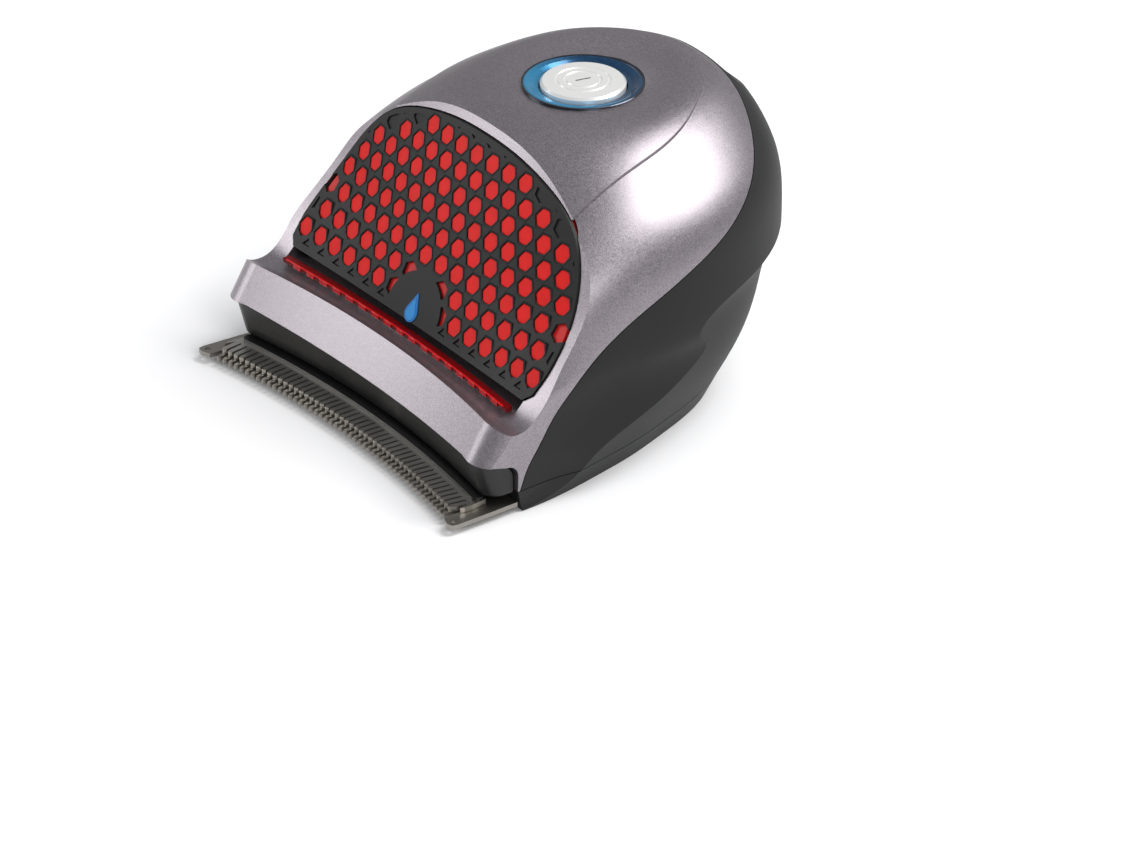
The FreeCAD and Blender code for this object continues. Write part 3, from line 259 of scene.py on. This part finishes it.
SILVER = (0.3, 0.272, 0.295)
# The ring's one blue, twice: painted shade for the rear and painted highlight for the front.
RING_SHADED_REAR = (0.004, 0.02, 0.075)
RING_LIT_FRONT = (0.035, 0.3, 0.55)
BUTTON_CENTRE = middle_of("power_button")
MOTOR_CENTRE = middle_of("motor_can")
FINISHES = {
    "shell_silver": silver_paint(),
    "soft_black": soft_black("soft_touch_black"),
    "base_black": soft_black("base_black", (0.008, 0.008, 0.0085), 0.5),
    "head_black": soft_black("head_black", (0.007, 0.007, 0.0072), 0.34, 0.3, 0.45),
    "carrier_black": soft_black("carrier_black", (0.006, 0.006, 0.006), 0.3, 0.3, 0.5),
    "seal_rubber": soft_black("seal_rubber", (0.008, 0.008, 0.008), 0.7),
    "socket_black": plain_moulding("socket_black", (0.01, 0.01, 0.01), 0.35),
    "grille_black": soft_black("grille_rubber", (0.009, 0.0088, 0.0085), 0.45, 0.2, 0.22),
    "badge_blue": plain_moulding("badge_blue", (0.004, 0.17, 0.5), 0.4, 0.25),
    "red_plastic": red_plastic("backing_red", (0.7, 0.012, 0.011), 0.45, 0.3),
    "strip_red": red_plastic("strip_red", (0.16, 0.001, 0.002), 0.3, 0.2),
    "blade_steel": ground_steel("comb_steel", (0.34, 0.32, 0.29)),
    "cutter_steel": ground_steel("cutter_steel", (0.52, 0.5, 0.46), 0.3),
    "spring_steel": bare_metal("spring_steel", (0.5, 0.51, 0.53), 0.25),
    "screw_steel": bare_metal("screw_steel", (0.4, 0.4, 0.41), 0.28),
    "frame_grey": plain_moulding("frame_grey", (0.08, 0.08, 0.085), 0.5),
    "motor_steel": spun_metal("motor_zinc", (0.5, 0.5, 0.5), 0.34, MOTOR_CENTRE, 0.6),
    "shaft_steel": bare_metal("shaft_steel", (0.6, 0.6, 0.6), 0.2),
    "crank_brass": spun_metal("crank_brass", (0.7, 0.48, 0.18), 0.26, MOTOR_CENTRE, 0.3),
    "battery_wrap": plain_moulding("battery_wrap", (0.02, 0.16, 0.36), 0.28),
    "tab_nickel": bare_metal("tab_nickel", (0.62, 0.6, 0.55), 0.3),
    "board_green": plain_moulding("board_mask", (0.012, 0.13, 0.045), 0.3),
    "switch_body": plain_moulding("switch_body", (0.03, 0.03, 0.03), 0.4),
    "lamp_white": plain_moulding("lamp_lens", (0.85, 0.88, 0.9), 0.15),
    "chip_black": plain_moulding("chip_epoxy", (0.02, 0.02, 0.02), 0.55),
    "button_chrome": spun_metal("button_chrome", (0.86, 0.855, 0.84), 0.2, BUTTON_CENTRE, 0.22, 0.4),
    "trim_chrome": bare_metal("trim_dark_chrome", (0.1, 0.11, 0.13), 0.18),
    "ring_blue": ring_with_painted_light(),
    "lead_red": plain_moulding("lead_red", (0.5, 0.02, 0.02), 0.4),
    "lead_black": plain_moulding("lead_black", (0.02, 0.02, 0.02), 0.4),
}
STRIP_BRIGHT = red_plastic("strip_rib_red", (0.75, 0.008, 0.01), 0.25)
PAD_RED = red_plastic("cell_red", (0.82, 0.01, 0.008), 0.45, 0.15)
DROP_LIGHT = plain_moulding("drop_light_blue", (0.008, 0.26, 0.68), 0.35, 0.25)
MARK_STEEL = bare_metal("mark_steel", (0.3, 0.3, 0.31), 0.25)


SLOTS = {row["node"]: row["material_slot"] for row in frame["record"]["subparts"]}


def dress_frame():
    """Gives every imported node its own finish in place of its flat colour."""
    for node, obj in NODES.items():
        obj.data.materials.clear()
        obj.data.materials.append(FINISHES[SLOTS[node]].material)


dress_frame()


# ------------------------------------------------------------------ pieces
WELD = 0.0005 * MM
COPY_WELD = 0.001 * MM
FLAT_ANGLE = math.radians(0.5)
SHARP_ANGLE = math.radians(35.0)


def added(name, mesh, material):
    """New object from a bmesh, in one material."""
    data = bpy.data.meshes.new(name)
    mesh.to_mesh(data)
    mesh.free()
    made = bpy.data.objects.new(name, data)
    bpy.context.scene.collection.objects.link(made)
    data.materials.append(material)
    return made


def piece(name, mesh, finish, body):
    """Turns a bmesh into a riding piece with its finish."""
    bmesh.ops.remove_doubles(mesh, verts=mesh.verts, dist=WELD)
    bmesh.ops.recalc_face_normals(mesh, faces=mesh.faces)
    made = added(name, mesh, finish.material)
    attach(made, body)
    return made


def softened(node, body, width):
    """Copy of a node with its sharp edges rounded over; it stands for the node."""
    mesh = bmesh.new()
    mesh.from_mesh(NODES[node].data)
    bmesh.ops.remove_doubles(mesh, verts=mesh.verts, dist=COPY_WELD)
    bmesh.ops.dissolve_limit(mesh, angle_limit=FLAT_ANGLE, verts=mesh.verts, edges=mesh.edges)
    made = added(f"{node}_finished", mesh, FINISHES[SLOTS[node]].material)
    made.data.shade_smooth()
    made.data.set_sharp_from_angle(angle=SHARP_ANGLE)
    round_over = made.modifiers.new("round_over", "BEVEL")
    round_over.width = width * MM
    round_over.segments = 2
    round_over.limit_method = "ANGLE"
    round_over.angle_limit = SHARP_ANGLE
    round_over.harden_normals = True
    round_over.use_clamp_overlap = True
    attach(made, body)
    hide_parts(node)
    return made


def bevelled(mesh, offset, segments):
    """Breaks every edge of a bmesh by offset millimetres."""
    bmesh.ops.bevel(mesh, geom=mesh.edges[:], offset=offset * MM, affect="EDGES", segments=segments,
                    profile=0.5, material=-1)


def block(mesh, place, size):
    """Block of a size in millimetres, centred on a place."""
    stretch = Matrix.Diagonal((*(side * MM for side in size), 1.0))
    bmesh.ops.create_cube(mesh, size=1.0, matrix=place @ stretch)


# The front panel's flat: height, and how fast it falls back to the sides there, in millimetres.
PANEL_FALL = [
    (50.0, 0.003), (39.0, 0.0029), (31.0, 0.00255), (25.0, 0.00125), (20.5, 0.0001), (17.6, -0.0007),
]
# Middle of the panel's third row of cells, as y and z, and the way up the panel.
PANEL_ROOT = (-19.85, 28.0)
PANEL_UPHILL = Vector((0.0, 0.461, 0.887))
CELL_PITCH = 4.4
CELL_FLATS = 3.15
BADGE_RADIUS = 7.0
# Row number of the honeycomb, and how many pitches it reaches to each side.
CELL_ROWS = {-2: 7.5, -1: 7.0, 0: 7.5, 1: 7.0, 2: 6.5, 3: 6.0, 4: 4.5, 5: 3.0}
CELL_CORNERS = 6
COLLAR_MIDDLE = 0.5 * CELL_FLATS + 0.35
BADGE_HEIGHT = 19.6
BADGE_CLEARANCE = 2.1
PROBE_HEIGHT = 3.0
PROBE_REACH = 3.5
panel_tree = BVHTree.FromObject(NODES["grille_panel"], bpy.context.evaluated_depsgraph_get())


def panel_fall(height):
    """How fast the panel falls back towards its sides at a height."""
    for (high, fall_high), (low, fall_low) in zip(PANEL_FALL, PANEL_FALL[1:]):
        if height >= low:
            return fall_low + (fall_high - fall_low) * (height - low) / (high - low)
    return PANEL_FALL[-1][1]


def panel_frame(x, height):
    """Place and turn of a spot on the panel: across, uphill and outwards."""
    fall = panel_fall(height)
    middle = PANEL_ROOT[0] + (height - PANEL_ROOT[1]) * PANEL_UPHILL.y / PANEL_UPHILL.z
    across = Vector((1.0, 2 * fall * x, 0.0)).normalized()
    outward = across.cross(PANEL_UPHILL).normalized()
    uphill = outward.cross(across)
    turn = Matrix((across, uphill, outward)).transposed().to_4x4()
    return Matrix.Translation(Vector((x, middle + fall * x * x, height)) * MM) @ turn


def settled(frame_matrix, reach, needed=CELL_CORNERS):
    """The frame moved along its outward axis onto the panel, or None where it hangs over an edge."""
    outward = frame_matrix.col[2].to_3d()
    lifts = []
    for number in range(CELL_CORNERS):
        turn = 2 * math.pi * number / CELL_CORNERS
        above = Vector((reach * math.cos(turn), reach * math.sin(turn), PROBE_HEIGHT)) * MM
        spot = frame_matrix @ above
        hit = panel_tree.ray_cast(spot, -outward)[0]
        if hit and (hit - spot).length < PROBE_REACH * MM:
            lifts.append((hit - spot).dot(outward) + PROBE_HEIGHT * MM)
    if len(lifts) < needed:
        return None
    return Matrix.Translation(outward * (sum(lifts) / len(lifts))) @ frame_matrix


def hexagon(mesh, place, flats, lift):
    """Six-cornered ring with its flats to the sides."""
    turn = Matrix.Rotation(math.pi / CELL_CORNERS, 4, "Z")
    lifted = Matrix.Translation((0, 0, lift * MM))
    made = bmesh.ops.create_circle(mesh, segments=CELL_CORNERS, radius=flats / math.sqrt(3) * MM,
                                   matrix=place @ lifted @ turn)
    return [edge for edge in mesh.edges if all(vert in made["verts"] for vert in edge.verts)]


def cell_spots():
    """Place and turn of every open cell of the honeycomb that stands clear of the badge."""
    badge = panel_frame(0.0, BADGE_HEIGHT).translation
    spots = []
    row_rise = CELL_PITCH * math.sqrt(0.75) * PANEL_UPHILL.z
    for row, reach in CELL_ROWS.items():
        height = PANEL_ROOT[1] + row * row_rise
        for number in range(int(2 * reach) + 1):
            spot = panel_frame((number - reach) * CELL_PITCH, height)
            if (spot.translation - badge).length < (BADGE_RADIUS + BADGE_CLEARANCE) * MM:
                continue
            spot = settled(spot, COLLAR_MIDDLE)
            if spot:
                spots.append(spot)
    return spots


def repeated(name, sections, capped, finish):
    """One small hexagonal shape at every cell, from its sections: flats and lift above the panel."""
    mesh = bmesh.new()
    for spot in cell_spots():
        cell = bmesh.new()
        rings = [hexagon(cell, spot, flats, lift) for flats, lift in sections]
        for lower, upper in zip(rings, rings[1:]):
            bmesh.ops.bridge_loops(cell, edges=lower + upper)
        if capped:
            bmesh.ops.contextual_create(cell, geom=rings[-1])
        joined = bpy.data.meshes.new("cell")
        cell.to_mesh(joined)
        cell.free()
        mesh.from_mesh(joined)
        bpy.data.meshes.remove(joined)
    return piece(name, mesh, finish, "body")


def cell_collars():
    """Low raised lip round every open cell of the honeycomb."""
    sections = (
        (CELL_FLATS, -0.1), (CELL_FLATS, 0.1), (CELL_FLATS + 0.28, 0.13), (CELL_FLATS + 0.62, -0.03),
    )
    return repeated("cell_collars", sections, False, FINISHES["grille_black"])


def cell_pads():
    """Red pads that fill the cells almost to the face of the honeycomb."""
    flats = CELL_FLATS - 0.04
    sections = ((flats, -0.5), (flats, -0.16), (CELL_FLATS - 0.3, -0.08))
    return repeated("cell_pads", sections, True, PAD_RED)


STRIP_HALF = 31.6
STRIP_FALL = 0.0014
STRIP_LOW, STRIP_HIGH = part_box("slot_strip")
RIB_PITCH = 3.6
RIB_WIDTH = 2.1
RIB_DEPTH = 0.34
RIB_SLANT = -1.0
RAIL_PARTS = 40
RAIL_SIZE = (0.3, 0.16)
RAIL_OVERLAP = 1.01


def strip_spot(x):
    """Front edge of the rinse strip at x: place and turn along the arc."""
    front = STRIP_LOW[1] / MM + STRIP_FALL * (STRIP_HIGH[0] / MM) ** 2
    along = Vector((1.0, -2 * STRIP_FALL * x, 0.0)).normalized()
    outward = Vector((along.y, -along.x, 0.0))
    turn = Matrix((along, -outward, Vector((0, 0, 1)))).transposed().to_4x4()
    middle = (STRIP_LOW[2] + STRIP_HIGH[2]) / 2 / MM
    return Matrix.Translation(Vector((x, front - STRIP_FALL * x * x, middle)) * MM) @ turn


def strip_ribs():
    """Slanting bright ribs along the front of the rinse strip, under a thin rail."""
    mesh = bmesh.new()
    height = (STRIP_HIGH[2] - STRIP_LOW[2]) / MM
    slant = Matrix.Shear("XZ", 4, (RIB_SLANT, 0.0))
    count = int(2 * STRIP_HALF / RIB_PITCH)
    for number in range(count):
        x = (number - (count - 1) / 2) * RIB_PITCH
        block(mesh, strip_spot(x) @ slant, (RIB_WIDTH, RIB_DEPTH, height * 0.98))
    bevelled(mesh, 0.05, 1)
    top = Matrix.Translation(Vector((0, 0.02, height / 2 - 0.06)) * MM)
    for number in range(RAIL_PARTS):
        x = ((number + 0.5) / RAIL_PARTS * 2 - 1) * STRIP_HALF
        block(mesh, strip_spot(x) @ top, (2 * RAIL_OVERLAP * STRIP_HALF / RAIL_PARTS, *RAIL_SIZE))
    return piece("strip_ribs", mesh, STRIP_BRIGHT, "body")


MARK_SIZE = (2.7, 0.34, 0.1)
MARK_SUNK = 0.02
MARK_TURN = math.radians(78)


def power_mark():
    """Short raised stroke across the middle of the button."""
    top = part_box("power_button")[1][2]
    mesh = bmesh.new()
    place = Matrix.Translation((*BUTTON_CENTRE[:2], top - MARK_SUNK * MM))
    block(mesh, place @ Matrix.Rotation(MARK_TURN, 4, "Z"), MARK_SIZE)
    bevelled(mesh, 0.03, 2)
    return piece("power_mark", mesh, MARK_STEEL, "button")


DROP_BELLY = 1.12
DROP_TIP = 2.5
DROP_LOWERED = 0.1
DROP_LIFT = 0.14
DROP_HEIGHT = 0.08
DROP_STEPS = 18


def drop_inlay():
    """Smaller drop that stands on the badge's drop."""
    spot = settled(panel_frame(0.0, BADGE_HEIGHT - 0.2 * PANEL_UPHILL.z), 3.4, 2)
    touch = math.asin(DROP_BELLY / DROP_TIP)
    corners = []
    for number in range(DROP_STEPS + 1):
        turn = touch - (math.pi + 2 * touch) * number / DROP_STEPS
        corners.append((DROP_BELLY * math.cos(turn), DROP_BELLY * math.sin(turn) - DROP_LOWERED))
    corners.append((0.0, DROP_TIP))
    mesh = bmesh.new()
    rim = [mesh.verts.new(spot @ (Vector((*corner, DROP_LIFT)) * MM)) for corner in corners]
    face = mesh.faces.new(rim)
    lifted = bmesh.ops.extrude_face_region(mesh, geom=[face])
    raised = [item for item in lifted["geom"] if isinstance(item, bmesh.types.BMVert)]
    bmesh.ops.translate(mesh, verts=raised, vec=spot.col[2].to_3d() * DROP_HEIGHT * MM)
    return piece("drop_inlay", mesh, DROP_LIGHT, "body")


cell_collars()
cell_pads()
softened("head_holder", "blade_head", 0.15)
strip_ribs()
power_mark()
drop_inlay()


# ------------------------------------------------------------------ floor, light and camera
FLOOR_HALF = 2.0
SURROUND = (0.93, 0.94, 0.96, 1.0)
SURROUND_STRENGTH = 0.4


def studio():
    """Pale floor and an even pale surround."""
    sheet = bmesh.new()
    bmesh.ops.create_grid(sheet, x_segments=1, y_segments=1, size=FLOOR_HALF)
    paper = Finish("pale_paper", (0.93, 0.93, 0.935), 0.0, 0.9, specular_ior_level=0.1)
    paper.bump(paper.noise(1.5, 3.0), 0.1, 0.02)
    floor = added("floor", sheet, paper.material)
    world = bpy.data.worlds.new("studio")
    world.use_nodes = True
    background = world.node_tree.nodes["Background"]
    background.inputs["Color"].default_value = SURROUND
    background.inputs["Strength"].default_value = SURROUND_STRENGTH
    bpy.context.scene.world = world


def softbox(name, place, aim, size, power):
    """Rectangular area light at place, turned to aim; millimetres and watts."""
    light = bpy.data.lights.new(name, "AREA")
    light.shape = "RECTANGLE"
    light.size = size[0] * MM
    light.size_y = size[1] * MM
    light.energy = power
    lamp = bpy.data.objects.new(name, light)
    lamp.location = Vector(place) * MM
    lamp.rotation_euler = (Vector(aim) - Vector(place)).to_track_quat("-Z", "Y").to_euler()
    bpy.context.scene.collection.objects.link(lamp)


CAMERA_LENS = 252.6
CAMERA_ANGLES = (54.32, 28.63, 0.30)
CAMERA_AIM = (58.5, -33.86, 27.0)
CAMERA_DISTANCE = 1271.8


def camera():
    """Long lens from the right, in front and above; angles are azimuth, elevation and roll."""
    view = bpy.data.cameras.new("camera")
    view.sensor_width = 36.0
    view.lens = CAMERA_LENS
    view.clip_end = 20.0
    azimuth, elevation, roll = (math.radians(value) for value in CAMERA_ANGLES)
    forward = Vector((-math.sin(azimuth) * math.cos(elevation), math.cos(azimuth) * math.cos(elevation),
                      -math.sin(elevation)))
    right = Vector((math.cos(azimuth), math.sin(azimuth), 0.0))
    up = right.cross(forward)
    tilted = right * math.cos(roll) + up * math.sin(roll)
    upright = tilted.cross(forward)
    turn = Matrix((tilted, upright, -forward)).transposed().to_4x4()
    lens = bpy.data.objects.new("camera", view)
    place = Vector(CAMERA_AIM) - forward * CAMERA_DISTANCE
    lens.matrix_world = Matrix.Translation(place * MM) @ turn
    bpy.context.scene.collection.objects.link(lens)
    bpy.context.scene.camera = lens


studio()
softbox("top_box", (190, 330, 560), (0, 20, 20), (340, 470), 4.1)
softbox("nose_box", (-430, -400, 250), (0, -10, 22), (260, 220), 1.15)
softbox("right_box", (480, -150, 330), (0, 0, 20), (220, 260), 0.9)
camera()
bpy.context.scene.view_settings.view_transform = "Standard"
